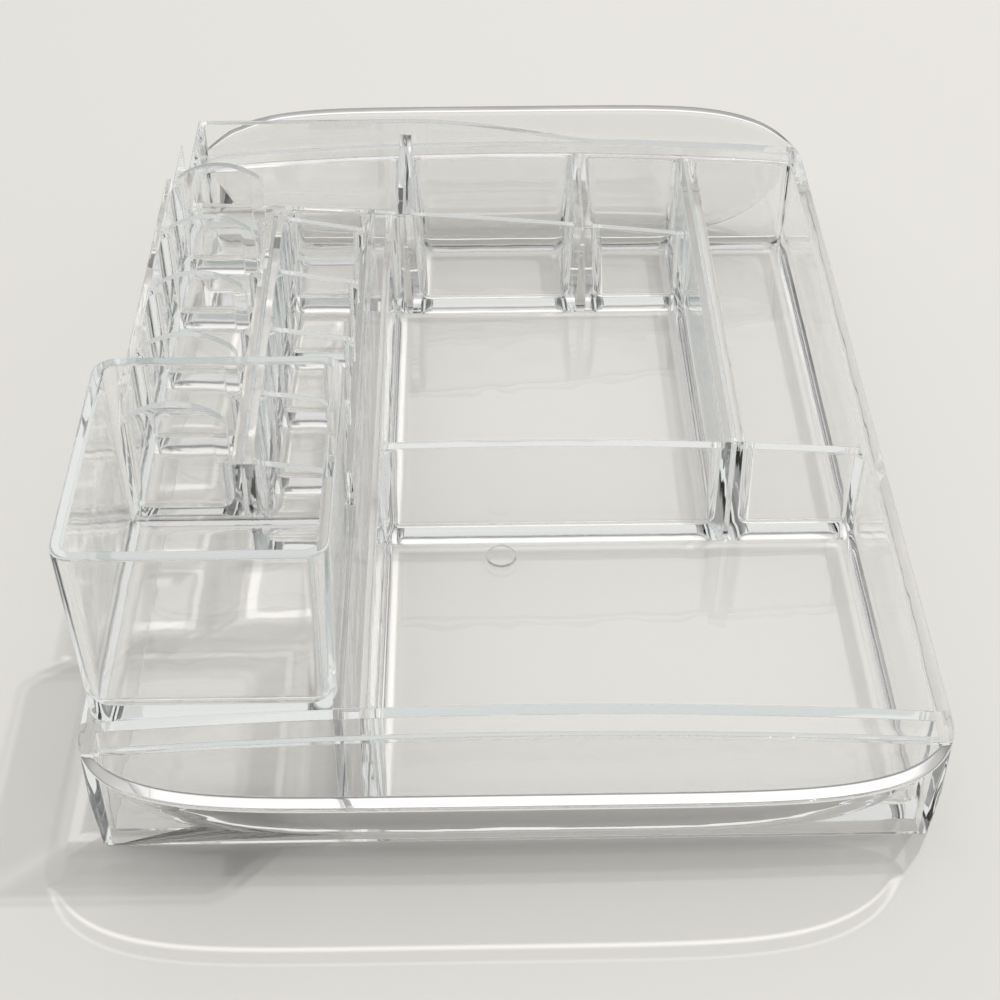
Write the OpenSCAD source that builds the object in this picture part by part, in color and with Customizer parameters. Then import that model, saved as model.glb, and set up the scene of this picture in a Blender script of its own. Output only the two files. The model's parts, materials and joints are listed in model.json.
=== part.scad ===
/* [Body] */
// Width over the two side walls
body_w = 212; // [200:1:230]
// Length between the two straight end panels, handles not counted
body_l = 283; // [278:1:310]
// Height of the rim at the four corners
rim_h = 36; // [32:0.5:42]
// How far the end rims arch up at mid width
rim_rise = 4.6; // [1:0.2:7]
// Thickness of the side walls at their rims
side_t = 4.2; // [3.6:0.1:5]
// How far the foot of the tray stands in from its rim, all round
foot_in = 2.2; // [0.5:0.1:2.6]
// How far the raised side wall stands in from the rim below it
step_in = 1.8; // [0.5:0.1:2.2]
// Thickness of the partitions
wall_t = 2.2; // [1.8:0.1:2.8]
// Thickness of the top webs and of the raised floors
web_t = 2.4; // [1.8:0.1:3]
// Thickness of the compartment floors
floor_t = 3; // [2:0.1:4]
// Radius where a floor meets its walls
foot_r = 5; // [3:0.1:7]

/* [Bowed handles] */
// Depth of the ledge between an end panel and the compartments
ledge_w = 10.4; // [8:0.2:13]
// How far a handle bows out at mid width
handle_bow = 23.2; // [16:0.2:27]
// How much higher the handle's rim stands there than at the corners
handle_rise = 5.2; // [1:0.2:7]
// Length of the side over which the tray's corners start to turn in
corner_l = 8; // [5:0.5:12]
// Rim of a handle, measured level
handle_t = 5; // [3.4:0.1:6]
// Lean of a handle, level run for each millimetre of height
handle_lean = 0.66; // [0.6:0.01:0.76]

/* [Brush cup] */
// Length of the cup's rim from front to back
cup_l = 77.2; // [66:0.1:90]
// Height of the cup's rim above the table
cup_h = 90.4; // [76:0.2:110]
// Wall of the cup
cup_t = 3.1; // [2.4:0.1:3.4]
// Outer corner radius of the cup
cup_r = 6; // [4:0.5:9]
// Draft of each cup wall from floor to rim
cup_draft = 1.5; // [0.4:0.1:1.6]

/* [Lipstick slots] */
// Distance from one slot divider to the next
slot_pitch = 30; // [28:0.1:31]
// Clear width of the tall column, next to the side wall
tall_w = 27.5; // [24:0.5:29]
// Clear width of the low column
low_w = 24.3; // [21:0.1:26]
// Width of the spine between the two columns
spine_w = 5.6; // [5:0.1:7]
// Height of the tall dividers at their shoulders
tall_h = 70; // [64:0.5:76]
// Rise of the arch on each tall divider
tall_rise = 5.8; // [3:0.2:8]
// Radius of each tall divider's free shoulder
shoulder_r = 5; // [3:0.5:7]
// Height of the spine and of the low dividers beside it
low_h = 56.2; // [50:0.2:60]
// Fall of a low divider's top from the spine to its far end
low_fall = 4.4; // [0:0.2:6]
// Height of the low column's floor
low_floor = 23; // [18:0.5:30]

/* [Compartments] */
// Clear length of the front compartment
front_l = 104; // [90:0.1:120]
// Clear width of the long compartment at the side
long_w = 34; // [28:0.5:38]
// Width of the divider beside the long compartment
divider_w = 6; // [5.4:0.1:7]
// Height of that divider
divider_h = 38; // [37:0.5:40]
// Width of the open channel beside the slots
channel_w = 4.2; // [3:0.1:6]
// Height of the web over that channel
channel_h = 40.2; // [38.4:0.2:41]
// Clear length of the back row
row_l = 36; // [30:0.1:40]
// Width of each divider in the back row, at its foot
cross_w = 7.5; // [6.6:0.1:9]
// Width of those dividers at the highest rim
cross_top = 4; // [3.4:0.1:5]
// Thickness of the arched cross wall behind the front compartment
gate_t = 3.1; // [2:0.1:4]
// How far that wall's arch lies below the rim's
gate_drop = 3.4; // [2.6:0.2:7]
// Height of the back panel at its high end
panel_h = 48.7; // [44:0.1:54]
// Height of the back row's front wall at its high end
row_h = 44.4; // [41:0.2:50]
// Fall of that wall from there to the long divider
row_fall = 13.4; // [4:0.2:16]
// How far that wall's top bulges over a straight line
row_bulge = 1.6; // [0.4:0.2:3]
// Diameter of the round moulding mark on the front floor
mark_d = 8.6; // [6:0.2:12]

/* [Hidden] */
TALL = [for (i = [1:5]) str("tall_divider_", i)];
LOW = [for (i = [1:5]) str("low_divider_", i)];

// Cuts run past a face by this much
overrun = 1;
// Arcs that carry a true radius
arc_fn = 720;
round_fn = 48;
// A radius stops this short of the wall above it
land = 0.3;
// Two arcs that run into each other cross by this much, so that they meet in one line
graze = 0.03;
// Stations along a bowed handle, and the two powers that make its outline square
handle_steps = 44;
bow_shares = [6, 0.55];
// Level thickness of a handle near its ends, and height of its foot, as shares
taper_share = 0.8;
foot_share = 0.12;
// The back row divides its width at these shares, from the left
back_share = [0.0, 0.61];
// Where the back panel starts and ends its fall, as shares of the width from the middle
fall_share = [-0.16, 0.34];
fall_steps = 20;
mark_rise = 1.2;
mark_share = 0.345;

half_w = body_w / 2;
arch_r = (half_w * half_w + rim_rise * rim_rise) / (2 * rim_rise);
rim_top = rim_h + rim_rise;
tall_top = tall_h + tall_rise;
deck_h = rim_h + web_t;

// Places across the width
left_in = -half_w + side_t;
right_in = half_w - side_t;
spine_x0 = left_in + tall_w;
spine_x1 = spine_x0 + spine_w;
low_x1 = spine_x1 + low_w;
block_x1 = low_x1 + wall_t;
tray_x0 = block_x1 + channel_w;
tray_in = tray_x0 + wall_t;
long_x0 = right_in - long_w;
divider_x0 = long_x0 - divider_w;
cross_x = [for (s = back_share) tray_in + s * (divider_x0 - tray_in)];

// Places along the length
end_y = body_l / 2;
front_in = ledge_w - end_y;
cup_y = [front_in + land - cup_draft, front_in + land - cup_draft + cup_l];
back_in = end_y - ledge_w;
slot_y0 = cup_y[1] - cup_draft * (cup_h - overrun - tall_top) / (cup_h - overrun - rim_h);
row_in = back_in - row_l;
block_end = row_in - wall_t;
front_end = front_in + front_l;
middle_in = front_end + gate_t;
tall_n = len(TALL);
// The arch of a tall divider, and the centre and start of its rounded shoulder
tall_half = tall_w / 2;
tall_r = (tall_half * tall_half + tall_rise * tall_rise) / (2 * tall_rise);
shoulder_z = tall_top - tall_r + sqrt(pow(tall_r - shoulder_r + graze, 2) - pow(tall_half - shoulder_r, 2));
tangent_x = left_in + tall_half + (tall_half - shoulder_r) * tall_r / (tall_r - shoulder_r);
divider_y = [for (i = [0:tall_n - 1]) slot_y0 + i * slot_pitch];
last_tall = divider_y[tall_n - 1] + wall_t;
cells = [for (i = [0:tall_n - 1]) [divider_y[i] + wall_t, i < tall_n - 1 ? divider_y[i + 1] : block_end]];

// Height of the arched end rims over a place across the width
function arch_z(x) = rim_top - arch_r + sqrt(arch_r * arch_r - x * x);
// Level reach of a bowed handle over a place across the width, and where it comes down to nought
function bow_y(x) = (handle_bow + corner_l) * pow(1 - pow(abs(x) / half_w, bow_shares[0]), bow_shares[1])
  - corner_l;
edge_x = half_w * pow(1 - pow(corner_l / (handle_bow + corner_l), 1 / bow_shares[1]), 1 / bow_shares[0]);
// The radius that turns the side in to there
corner_r = (corner_l * corner_l + pow(half_w - edge_x, 2)) / (2 * (half_w - edge_x));
// The outer face of the front panel leans out from the foot
function panel_y(z) = foot_in * max(0, 1 - z / rim_top) - end_y;
// Eased fall from one to nought between the two fall shares
function ease(x) = let (a = fall_share[0] * body_w, b = fall_share[1] * body_w,
  t = min(1, max(0, (x - a) / (b - a)))) (1 + cos(180 * t)) / 2;
// Top of the back panel, and of the back row's front wall
function panel_z(x) = max(arch_z(x), rim_h + (panel_h - rim_h) * ease(x));
row_w = divider_x0 + half_w;
row_chord = sqrt(row_w * row_w + row_fall * row_fall);
row_r = (row_chord * row_chord / 4 + row_bulge * row_bulge) / (2 * row_bulge);
row_c = [-half_w + row_w / 2 - row_fall / row_chord * (row_r - row_bulge),
  row_h - row_fall / 2 - row_w / row_chord * (row_r - row_bulge)];
function row_z(x) = row_c[1] + sqrt(row_r * row_r - pow(x - row_c[0], 2));
channel_top = min(channel_h, row_z(tray_in));
// Lean of a back row divider's sides above the floors
cross_lean = (cross_w - cross_top) / 2 / (panel_h - floor_t - foot_r);

// A profile drawn in width and height, carried from y0 to y1
module along_y(y0, y1) { translate([0, y1, 0]) rotate([90, 0, 0]) linear_extrude(y1 - y0) children(); }
// A profile drawn in length and height, carried from x0 to x1
module along_x(x0, x1) { translate([x0, 0, 0]) rotate([90, 0, 90]) linear_extrude(x1 - x0) children(); }
module block(x, y, z) { translate([x[0], y[0], z[0]]) cube([x[1] - x[0], y[1] - y[0], z[1] - z[0]]); }

// The region under the arched rim, lowered by drop
module under_arch(x0, x1, drop = 0) {
  intersection() {
    translate([x0, 0]) square([x1 - x0, rim_top + rim_rise]);
    translate([0, rim_top - arch_r - drop]) circle(r = arch_r, $fn = arc_fn);
  }
}
// A panel whose top is one shallow arc
module arched_panel(x0, x1, z0, shoulder, rise) {
  half = (x1 - x0) / 2;
  r = (half * half + rise * rise) / (2 * rise);
  intersection() {
    translate([x0, z0]) square([x1 - x0, shoulder + 2 * rise - z0]);
    translate([x0 + half, shoulder + rise - r]) circle(r = r, $fn = arc_fn);
  }
}
// A panel whose top follows the back row's arc between two places
module row_panel(x0, x1) {
  intersection() {
    translate([x0, 0]) square([x1 - x0, rim_top + panel_h]);
    translate(row_c) circle(r = row_r, $fn = arc_fn);
  }
}
// The outer form of the tray: sides and ends that lean out from the foot, and corners that turn in
module body_form() {
  far = end_y - corner_l;
  intersection() {
    along_y(-end_y, end_y) polygon([[foot_in - half_w, 0], [half_w - foot_in, 0], [half_w, rim_h],
      [half_w, tall_h], [-half_w, tall_h], [-half_w, rim_h]]);
    along_x(-half_w, half_w) polygon([[panel_y(0), 0], [-panel_y(0), 0], [end_y, rim_top], [end_y, tall_h],
      [-end_y, tall_h], [-end_y, rim_top]]);
    linear_extrude(tall_h) {
      square([2 * half_w, 2 * far], center = true);
      square([2 * (half_w - corner_r), 2 * end_y], center = true);
      intersection() {
        square([2 * half_w, 2 * end_y], center = true);
        for (sx = [-1, 1], sy = [-1, 1])
          translate([sx * (half_w - corner_r), sy * far]) circle(r = corner_r, $fn = arc_fn);
      }
    }
  }
}

// A bowed handle: every section leans out from the end panel to a rim that curves two ways at once
module bowed_handle() {
  reach = edge_x - land;
  xs = [for (i = [0:handle_steps]) -reach * cos(180 * i / handle_steps)];
  sections = [for (x = xs) let (b = bow_y(x), lip = min(handle_t, b * taper_share),
    z = rim_h + handle_rise * b / handle_bow,
    fold = max((handle_lean * z - b - foot_in) / (handle_lean - foot_in / rim_top), floor_t / 2),
    inner = fold + foot_share * (z - fold))
    [[x, -end_y - b, z], [x, lip - end_y - b, z], [x, panel_y(inner), inner], [x, panel_y(fold), fold]]];
  last = 4 * handle_steps;
  polyhedron([for (s = sections) each s],
    concat([[0, 1, 2, 3], [last + 3, last + 2, last + 1, last]],
      [for (i = [0:handle_steps - 1]) for (k = [0:3]) let (a = 4 * i + k, b = 4 * i + (k + 1) % 4)
        each [[a, a + 4, b], [b, a + 4, b + 4]]]));
}
// The space over a floor, seen along one axis: straight sides with a radius at each foot
module rounded_foot(a, b, floor_z) {
  left = a + land;
  right = b - land;
  difference() {
    translate([left, floor_z]) square([right - left, foot_r + overrun]);
    for (c = [[left - overrun, left + foot_r], [right - foot_r, right - foot_r]]) difference() {
      translate([c[0], floor_z - overrun]) square([foot_r + overrun, foot_r + overrun]);
      translate([c[1], floor_z + foot_r]) circle(r = foot_r, $fn = round_fn);
    }
  }
}
// The same space with a radius along all four sides
module hollow(x, y, floor_z) {
  intersection() {
    along_y(y[0], y[1]) rounded_foot(x[0], x[1], floor_z);
    along_x(x[0], x[1]) rounded_foot(y[0], y[1], floor_z);
  }
}
// The floor of a compartment
module floor_pan(x, y) {
  difference() {
    block(x, y, [0, floor_t + foot_r]);
    hollow(x, y, floor_t);
  }
}
// The floor of a column of slots, with a hollow for each slot and a ridge under each divider
module slot_pan(x, floor_z) {
  difference() {
    block(x, [slot_y0, block_end], [floor_z - web_t, floor_z + foot_r]);
    for (y = cells) hollow(x, y, floor_z);
  }
}
// A drafted tub outline, wider at the top than at the foot
module drafted(x, y, z, r, draft) {
  hull() for (end = [[z[0], draft], [z[1] - overrun, 0]])
    for (px = [x[0] + r, x[1] - r], py = [y[0] + r, y[1] - r])
      translate([px + sign(x[0] + x[1] - 2 * px) * end[1], py + sign(y[0] + y[1] - 2 * py) * end[1], end[0]])
        cylinder(r = r, h = overrun, $fn = round_fn);
}

// A leaning end panel with the profile of its children
module end_panel() {
  intersection() {
    along_y(-end_y, front_in) children();
    along_x(left_in, right_in) polygon([[panel_y(0), 0], [panel_y(0) + web_t, 0], [web_t - end_y, rim_top],
      [web_t - end_y, panel_h], [-end_y, panel_h], [-end_y, rim_top]]);
  }
}
module end_ledge() {
  difference() {
    intersection() {
      along_y(-end_y, front_in) under_arch(left_in, right_in);
      along_x(left_in, right_in) polygon([[panel_y(0) + web_t, 0], [front_in, 0], [front_in, rim_top],
        [web_t - end_y, rim_top]]);
    }
    along_y(-end_y, front_in - wall_t) under_arch(left_in - overrun, right_in + overrun, web_t);
  }
}

module front_handle() { color("azure", 0.4) bowed_handle(); }
module front_panel() { color("aliceblue", 0.4) end_panel() under_arch(left_in, right_in); }
module front_ledge() { color("lightcyan", 0.4) end_ledge(); }
module back_handle() { color("azure", 0.4) mirror([0, 1, 0]) bowed_handle(); }
module back_panel() {
  xs = [for (i = [0:fall_steps]) left_in + i / fall_steps * (right_in - left_in)];
  color("aliceblue", 0.4) mirror([0, 1, 0]) end_panel()
    polygon(concat([[right_in, 0], [left_in, 0]], [for (x = xs) [x, panel_z(x)]]));
}
module back_ledge() { color("lightcyan", 0.4) mirror([0, 1, 0]) end_ledge(); }

module left_side_wall() {
  color("aliceblue", 0.4) intersection() {
    union() {
      block([-half_w, left_in], [-end_y, end_y], [0, rim_h]);
      along_x(step_in - half_w, left_in)
        polygon([[slot_y0, rim_h], [end_y, rim_h], [end_y, panel_h], [row_in, panel_h], [last_tall, tall_h],
          [slot_y0, tall_h]]);
    }
    body_form();
  }
}
module right_side_wall() {
  color("aliceblue", 0.4) intersection() {
    block([right_in, half_w], [-end_y, end_y], [0, rim_h]);
    body_form();
  }
}

module brush_cup() {
  color("azure", 0.4) difference() {
    drafted([-half_w, block_x1], cup_y, [rim_h, cup_h], cup_r, cup_draft);
    drafted([-half_w + cup_t, block_x1 - cup_t], [cup_y[0] + cup_t, cup_y[1] - cup_t],
      [deck_h, cup_h + overrun], cup_r - cup_t, cup_draft);
  }
}

module tall_slot_floor() { color("lightcyan", 0.4) slot_pan([left_in, spine_x0], deck_h); }
module low_slot_floor() { color("lightcyan", 0.4) slot_pan([spine_x1, low_x1], low_floor); }
// An arched divider whose shoulder over the spine is free, and rounded
module tall_divider(i) {
  color("white", 0.4) along_y(divider_y[i], divider_y[i] + wall_t) difference() {
    arched_panel(left_in, spine_x0, deck_h + foot_r, tall_h, tall_rise);
    difference() {
      translate([tangent_x, shoulder_z]) square([spine_x0 - tangent_x + overrun, tall_top]);
      translate([spine_x0 - shoulder_r, shoulder_z]) circle(r = shoulder_r, $fn = round_fn);
    }
  }
}
module low_divider(i) {
  foot = low_floor + foot_r;
  color("white", 0.4) along_y(divider_y[i], divider_y[i] + wall_t)
    polygon([[spine_x1, foot], [low_x1, foot], [low_x1, low_h - low_fall], [spine_x1, low_h]]);
}
// Two walls under one top, open below; the far one reaches down to the low floor
module slot_spine() {
  top = row_z(spine_x0);
  color("aliceblue", 0.4) difference() {
    along_x(spine_x0, spine_x1)
      polygon([[slot_y0, low_floor - web_t], [block_end, low_floor - web_t], [block_end, top],
        [last_tall, low_h], [slot_y0, low_h]]);
    block([spine_x0 - overrun, spine_x0 + wall_t], [slot_y0 - overrun, block_end + overrun], [0, rim_h]);
    along_x(spine_x0 + wall_t, spine_x1 - wall_t)
      polygon([[slot_y0 + wall_t, 0], [block_end - wall_t, 0], [block_end - wall_t, top - web_t],
        [last_tall, low_h - web_t], [slot_y0 + wall_t, low_h - web_t]]);
  }
}
module slot_side_wall() {
  side_h = low_h - low_fall;
  color("aliceblue", 0.4) along_x(low_x1, block_x1)
    polygon([[front_in, 0], [block_end, 0], [block_end, row_z(block_x1)], [last_tall, side_h],
      [slot_y0, side_h], [slot_y0, rim_h], [front_in, rim_h]]);
}
module channel_web() {
  color("lightcyan", 0.4)
    block([block_x1, tray_x0], [front_in, block_end], [channel_top - web_t, channel_top]);
}
module compartment_side_wall() {
  color("aliceblue", 0.4) block([tray_x0, tray_in], [front_in, block_end], [0, channel_top]);
}

module front_floor() { color("lightcyan", 0.4) floor_pan([tray_in, right_in], [front_in, front_end]); }
module middle_floor() { color("lightcyan", 0.4) floor_pan([tray_in, divider_x0], [middle_in, block_end]); }
module long_floor() { color("lightcyan", 0.4) floor_pan([long_x0, right_in], [middle_in, back_in]); }
module back_left_floor() { color("lightcyan", 0.4) floor_pan([left_in, cross_x[0]], [row_in, back_in]); }
module back_middle_floor() {
  color("lightcyan", 0.4) floor_pan([cross_x[0] + cross_w, cross_x[1]], [row_in, back_in]);
}
module back_right_floor() {
  color("lightcyan", 0.4) floor_pan([cross_x[1] + cross_w, divider_x0], [row_in, back_in]);
}

// The cross wall behind the front compartment: one arch, met by the long divider
module gate_wall(x0, x1) { color("white", 0.4) along_y(front_end, middle_in) under_arch(x0, x1, gate_drop); }
module middle_front_wall() { gate_wall(tray_in, divider_x0); }
module long_front_wall() { gate_wall(long_x0, right_in); }
// Two walls under one web, closed at the end that faces the front compartment
module long_divider() {
  color("aliceblue", 0.4) difference() {
    block([divider_x0, long_x0], [front_end, back_in], [0, divider_h]);
    block([divider_x0 + wall_t, long_x0 - wall_t], [middle_in, back_in + overrun],
      [-overrun, divider_h - web_t]);
  }
}
// The outer form of a back row divider: straight beside the floors, then narrower towards the top
module divider_form(x) {
  foot = floor_t + foot_r;
  top = panel_h + rim_rise;
  inset = cross_lean * (top - foot);
  along_y(block_end, back_in) polygon([[x, 0], [x + cross_w, 0], [x + cross_w, foot],
    [x + cross_w - inset, top], [x + inset, top], [x, foot]]);
}
// A back row divider, whose top falls from the back panel's height to the row's front wall
module back_divider(x) {
  middle = x + cross_w / 2;
  low = row_z(middle);
  foot = floor_t + foot_r;
  half = cross_w / 2 - wall_t;
  slim = half - cross_lean * (low - web_t - foot);
  color("aliceblue", 0.4) difference() {
    intersection() {
      divider_form(x);
      along_x(x, x + cross_w)
        polygon([[block_end, 0], [back_in, 0], [back_in, panel_z(middle)], [block_end, low]]);
    }
    along_y(row_in, back_in - wall_t) polygon([[middle - half, -overrun], [middle + half, -overrun],
      [middle + half, foot], [middle + slim, low - web_t], [middle - slim, low - web_t], [middle - half, foot]]);
  }
}
module back_divider_left() { back_divider(cross_x[0]); }
module back_divider_right() { back_divider(cross_x[1]); }
// A piece of the row's front wall, up to the leaning sides of the dividers beside it
module row_wall(x0, x1) {
  color("white", 0.4) difference() {
    along_y(block_end, row_in) row_panel(x0, x1);
    for (x = cross_x) divider_form(x);
  }
}
module back_left_front_wall() { row_wall(left_in, cross_x[0] + cross_w / 2); }
module back_middle_front_wall() { row_wall(cross_x[0] + cross_w / 2, cross_x[1] + cross_w / 2); }
module back_right_front_wall() { row_wall(cross_x[1] + cross_w / 2, divider_x0); }

module moulding_mark() {
  x = tray_in + mark_share * (divider_x0 - tray_in);
  y = front_end - foot_r - mark_d / 2;
  color("white", 0.4) translate([x, y, floor_t]) cylinder(d = mark_d, h = mark_rise, $fn = round_fn);
}

front_handle();
front_panel();
front_ledge();
back_handle();
back_panel();
back_ledge();
left_side_wall();
right_side_wall();
brush_cup();
tall_slot_floor();
low_slot_floor();
slot_spine();
slot_side_wall();
channel_web();
compartment_side_wall();
front_floor();
middle_floor();
long_floor();
back_left_floor();
back_middle_floor();
back_right_floor();
middle_front_wall();
long_front_wall();
long_divider();
back_divider_left();
back_divider_right();
back_left_front_wall();
back_middle_front_wall();
back_right_front_wall();
moulding_mark();
for (i = [0:tall_n - 1]) tall_divider(i);
for (i = [0:tall_n - 1]) low_divider(i);
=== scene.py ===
# %% [markdown]
# # A clear vanity organizer
#
# The tray is one clear moulding, so the picture needs one continuous solid: light that crosses a joint
# between two clear solids would show it. The moulding is built the way its mould is. Plain walls and
# slabs are joined, every compartment is then cut from above with a tub that has rounded corners and a
# radius round its foot, and the underside is cut from below.
#
# Sizes are in millimetres up to the last step, where a mesh is made in metres. +X runs across the tray
# away from the cup, +Y runs along it to the back row, and +Z is up.

# %% The frame
import json
import math

import bpy
import numpy as np
from mathutils import Matrix, Vector

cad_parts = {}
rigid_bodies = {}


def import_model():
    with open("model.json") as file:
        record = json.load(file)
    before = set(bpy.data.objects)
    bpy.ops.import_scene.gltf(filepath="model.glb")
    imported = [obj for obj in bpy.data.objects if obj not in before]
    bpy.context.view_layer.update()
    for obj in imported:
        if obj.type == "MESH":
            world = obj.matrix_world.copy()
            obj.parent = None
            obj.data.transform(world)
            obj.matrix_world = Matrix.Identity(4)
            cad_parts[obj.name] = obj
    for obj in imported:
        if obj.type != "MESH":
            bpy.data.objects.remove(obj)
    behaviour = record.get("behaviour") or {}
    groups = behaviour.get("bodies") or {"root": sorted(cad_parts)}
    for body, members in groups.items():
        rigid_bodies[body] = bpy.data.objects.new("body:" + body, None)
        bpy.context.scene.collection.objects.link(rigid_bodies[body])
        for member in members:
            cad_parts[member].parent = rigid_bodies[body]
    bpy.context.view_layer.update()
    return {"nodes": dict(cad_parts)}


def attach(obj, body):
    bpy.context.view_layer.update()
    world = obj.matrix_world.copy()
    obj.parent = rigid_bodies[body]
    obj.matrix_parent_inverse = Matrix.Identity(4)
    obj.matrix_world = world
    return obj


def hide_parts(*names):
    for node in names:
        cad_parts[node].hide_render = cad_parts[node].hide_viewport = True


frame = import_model()
MM = 0.001
print("frame:", len(frame["nodes"]), "nodes")

# %% [markdown]
# ## Sizes
# The same sizes as the construction model. A T is a thickness, an H a height, an L a length, a W a width
# and an R a radius. The lines go from the body to its walls, the cup, the slots, the rooms and the mark.
# The boxes of the model's nodes could give some of them, but no radius and no draft, so all are written
# here once.

# %% Sizes
HALF_W, END_Y = 106.0, 141.5
SIDE_T, WALL_T, WEB_T, FLOOR_T, GATE_T = 4.2, 2.2, 2.4, 3.0, 3.1
FOOT_IN, STEP_IN = 2.2, 1.8
RIM_H, RIM_RISE, PANEL_H = 36.0, 4.6, 48.7
RIM_TOP = RIM_H + RIM_RISE
FOOT_R, LEDGE, CORNER_L = 5.0, 10.4, 8.0
CUP_L, CUP_H, CUP_T, CUP_R, CUP_DRAFT = 77.2, 90.4, 3.1, 6.0, 1.5
TALL_W, LOW_W, SPINE_W, PITCH, SHOULDER_R = 27.5, 24.3, 5.6, 30.0, 5.0
TALL_H, TALL_RISE, LOW_H, LOW_FALL, LOW_FLOOR = 70.0, 5.8, 56.2, 4.4, 23.0
CHANNEL_W, CHANNEL_H, DIVIDER_W, DIVIDER_H, LONG_W = 4.2, 40.2, 6.0, 38.0, 34.0
FRONT_L, ROW_L, GATE_DROP = 104.0, 36.0, 3.4
CROSS_W, CROSS_TOP, CROSS_SHARE = 7.5, 4.0, 0.61
ROW_H, ROW_FALL, ROW_BULGE = 44.4, 13.4, 1.6
MARK_D, MARK_RISE, MARK_SHARE = 8.6, 1.2, 0.345
DECK = RIM_H + WEB_T
SIDE_H = LOW_H - LOW_FALL
print("body:", 2 * HALF_W, "by", 2 * END_Y, "mm, cup", CUP_H, "mm high")

# %% [markdown]
# ## Places
# Across the tray from its left side wall: the tall slots, the spine, the low slots, the channel, and the
# open compartments. Along it from the front: the cup, the slots and their dividers, and the back row.
# Each place is worked out from the one before it, so two walls that meet share one number.

# %% Places
LEFT_IN, RIGHT_IN = -HALF_W + SIDE_T, HALF_W - SIDE_T
SPINE = (LEFT_IN + TALL_W, LEFT_IN + TALL_W + SPINE_W)
LOW_X1 = SPINE[1] + LOW_W
BLOCK_X1 = LOW_X1 + WALL_T
TRAY_X0 = BLOCK_X1 + CHANNEL_W
TRAY_IN = TRAY_X0 + WALL_T
LONG_X0 = RIGHT_IN - LONG_W
DIVIDER_X0 = LONG_X0 - DIVIDER_W
CROSS = (TRAY_IN, TRAY_IN + CROSS_SHARE * (DIVIDER_X0 - TRAY_IN))

FRONT_IN, BACK_IN = LEDGE - END_Y, END_Y - LEDGE
CUP_Y = (FRONT_IN + 0.3 - CUP_DRAFT, FRONT_IN + 0.3 - CUP_DRAFT + CUP_L)
SLOT_Y0 = CUP_Y[1] - CUP_DRAFT * (CUP_H - 1 - TALL_H - TALL_RISE) / (CUP_H - 1 - RIM_H)
ROW_IN = BACK_IN - ROW_L
BLOCK_END = ROW_IN - WALL_T
FRONT_END = FRONT_IN + FRONT_L
MIDDLE_IN = FRONT_END + GATE_T
DIVIDERS = [SLOT_Y0 + PITCH * i for i in range(5)]
LAST = DIVIDERS[4] + WALL_T
CELLS = [(y + WALL_T, DIVIDERS[i + 1] if i < 4 else BLOCK_END) for i, y in enumerate(DIVIDERS)]
ABOVE = 110.0
print("slots:", 2 * len(CELLS), "in two columns,", TALL_W, "and", LOW_W, "mm wide")


# %% [markdown]
# ## Curved tops
# Hardly a top on this tray is straight. The ends and the wall behind the front compartment arch, the
# back row's front wall arches while it falls, and the back panel rises in a swoosh to one high corner.
# Curves drawn by hand would have to be matched wherever two walls meet. A height worked out from the place
# across is the same for both.

# %% Curved tops
def circle_height(x, half, rise):
    """The height of a shallow arc over its two ends: part of the circle through both ends and the crown."""
    radius = (half * half + rise * rise) / (2 * rise)
    return rise - radius + np.sqrt(radius * radius - np.clip(x, -half, half) ** 2)


def rim_z(x):
    """The arched end rim: the corner rim's height plus the height of one arc across the whole width."""
    return RIM_H + circle_height(x, HALF_W, RIM_RISE)


def gate_z(x):
    """The cross wall behind the front compartment: the rim's arch, lowered."""
    return rim_z(x) - GATE_DROP


def row_z(x):
    """The back row's front wall: an arc whose chord falls from the left side wall to the long divider."""
    width = DIVIDER_X0 + HALF_W
    chord = math.hypot(width, ROW_FALL)
    radius = (chord * chord / 4 + ROW_BULGE * ROW_BULGE) / (2 * ROW_BULGE)
    centre_x = -HALF_W + width / 2 - ROW_FALL / chord * (radius - ROW_BULGE)
    centre_z = ROW_H - ROW_FALL / 2 - width / chord * (radius - ROW_BULGE)
    return centre_z + np.sqrt(radius * radius - (x - centre_x) ** 2)


def panel_z(x):
    """The back panel's swoosh: half a cosine wave from the high corner's height down to the arched rim."""
    t = np.clip((x / (2 * HALF_W) + 0.16) / 0.5, 0, 1)
    return np.maximum(rim_z(x), RIM_H + (PANEL_H - RIM_H) * (1 + np.cos(np.pi * t)) / 2)


CHANNEL_TOP = min(CHANNEL_H, float(row_z(TRAY_IN)))
print("heights in the middle: rim", round(float(rim_z(0)), 1), "mm, gate", round(float(gate_z(0)), 1), "mm")

# %% [markdown]
# ## Lofts and prisms
# Two makers cover nearly every solid: a loft through rings of points, and a prism carried straight from
# an outline. A wall is a prism whose outline has the wall's own top. Edit mode could draw them one by one.
# Here the points are whole arrays, and the faces follow from how the points are numbered.

# %% Lofts and prisms
def mesh_object(name, points, faces):
    """One object at the origin, with its place in its points, turned from millimetres to metres."""
    mesh = bpy.data.meshes.new(name)
    mesh.from_pydata((np.asarray(points, float) * MM).tolist(), [], faces)
    mesh.update()
    piece = bpy.data.objects.new(name, mesh)
    bpy.context.scene.collection.objects.link(piece)
    return piece


def loft(rings):
    """A closed solid through equal rings: faces join neighbouring rings, and the two end rings are capped."""
    count, n = len(rings), len(rings[0])
    here = np.arange(count * n).reshape(count, n)
    after = np.roll(here, -1, axis=1)
    sides = np.stack([here[:-1], after[:-1], after[1:], here[1:]], axis=-1).reshape(-1, 4)
    return np.concatenate(rings), sides.tolist() + [here[0, ::-1].tolist(), here[-1].tolist()]


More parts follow.
